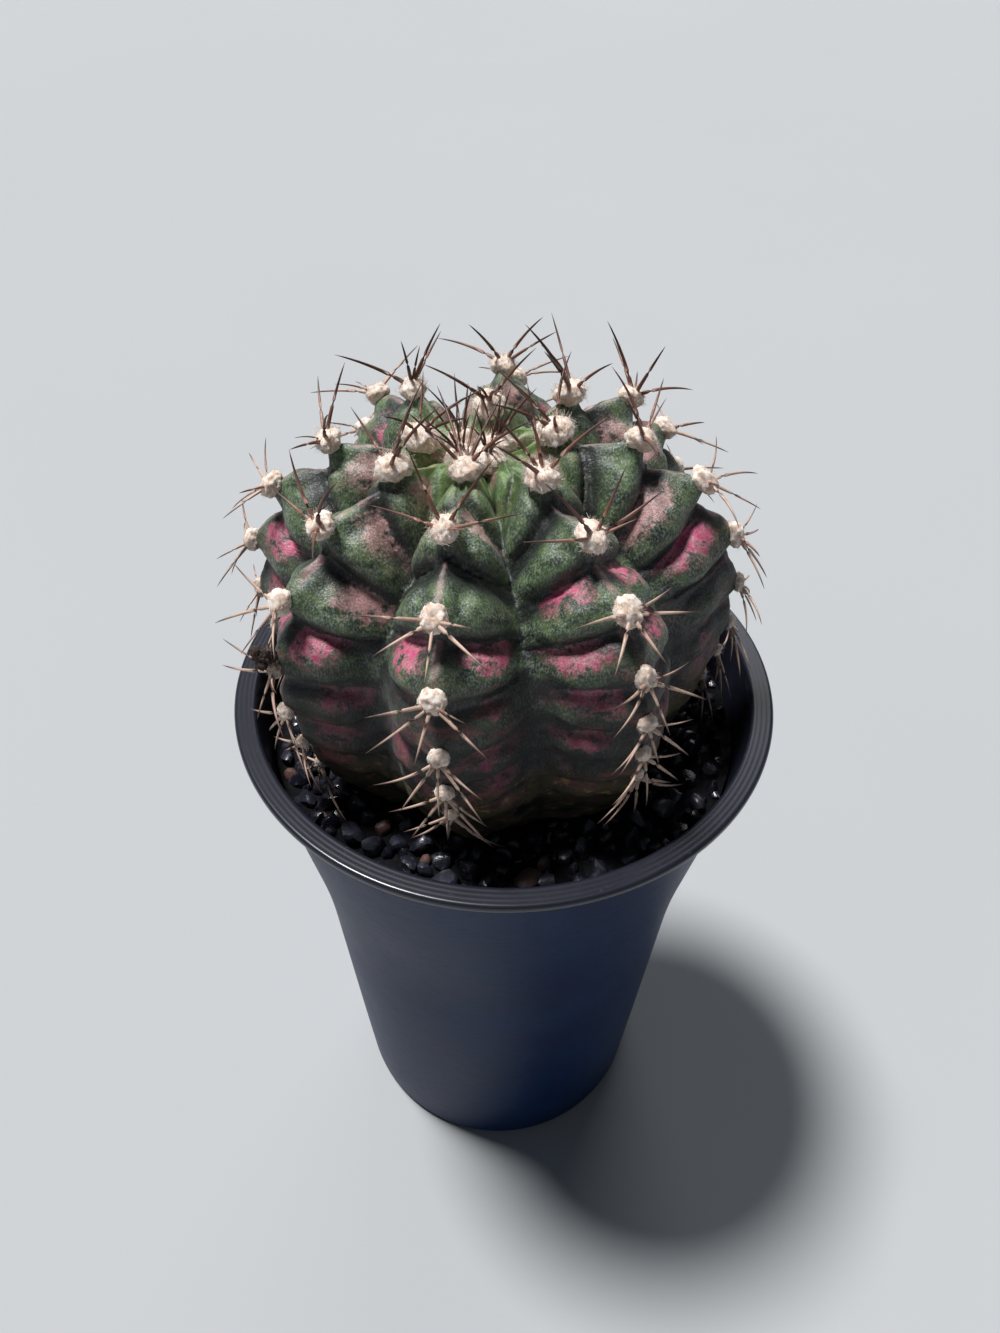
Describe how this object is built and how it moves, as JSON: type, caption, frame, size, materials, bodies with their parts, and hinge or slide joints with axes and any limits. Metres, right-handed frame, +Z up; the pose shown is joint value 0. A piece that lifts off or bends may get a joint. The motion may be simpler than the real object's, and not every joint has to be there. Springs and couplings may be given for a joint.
{
  "type": "potted chin cactus",
  "caption": "Ribbed globular cactus with wool pads, curved spines and mottled skin, growing in black gravel in a tall tapered plastic pot with a flat rim.",
  "frame": {"origin": "middle of the pot's flat underside", "axes": "+Z up along the pot's axis, -Y towards the picture's camera, +X to its right"},
  "size_m": [0.0858, 0.0871, 0.1639],
  "materials": {
    "pot": "satin blue-black moulded plastic",
    "potting_mix": "dark crumbly mix of bark and peat",
    "gravel": "glossy black stones of 2 to 5 mm",
    "stem": "waxy dark green skin with magenta and pale patches",
    "wool": "cream felted plant wool",
    "spines": "horny, pale tan to dark brown",
    "dried_flower": "dry and shrivelled"
  },
  "bodies": {
    "root": {"areole_back_1": "spines", "areole_back_2": "spines", "areole_back_3": "spines", "areole_back_4": "spines", "areole_back_5": "spines", "areole_back_6": "spines", "areole_back_left_1": "spines", "areole_back_left_2": "spines", "areole_back_left_3": "spines", "areole_back_left_4": "spines", "areole_back_left_5": "spines", "areole_back_right_1": "spines", "areole_back_right_2": "spines", "areole_back_right_3": "spines", "areole_back_right_4": "spines", "areole_back_right_5": "spines", "areole_front_1": "spines", "areole_front_2": "spines", "areole_front_3": "spines", "areole_front_4": "spines", "areole_front_5": "spines", "areole_front_6": "spines", "areole_front_7": "spines", "areole_front_left_1": "spines", "areole_front_left_2": "spines", "areole_front_left_3": "spines", "areole_front_left_4": "spines", "areole_front_left_5": "spines", "areole_front_left_6": "spines", "areole_front_left_7": "spines", "areole_front_right_1": "spines", "areole_front_right_2": "spines", "areole_front_right_3": "spines", "areole_front_right_4": "spines", "areole_front_right_5": "spines", "areole_front_right_6": "spines", "areole_front_right_7": "spines", "areole_left_1": "spines", "areole_left_2": "spines", "areole_left_3": "spines", "areole_left_4": "spines", "areole_left_5": "spines", "areole_left_6": "spines", "areole_left_7": "spines", "areole_right_1": "spines", "areole_right_2": "spines", "areole_right_3": "spines", "areole_right_4": "spines", "areole_right_5": "spines", "areole_right_6": "spines", "areole_right_7": "spines", "areole_right_8": "spines", "crown_wool": "wool", "dried_flower": "dried_flower", "gravel_bed": "gravel", "pot": "pot", "potting_mix": "potting_mix", "stem": "stem"}
  },
  "joints": []
}
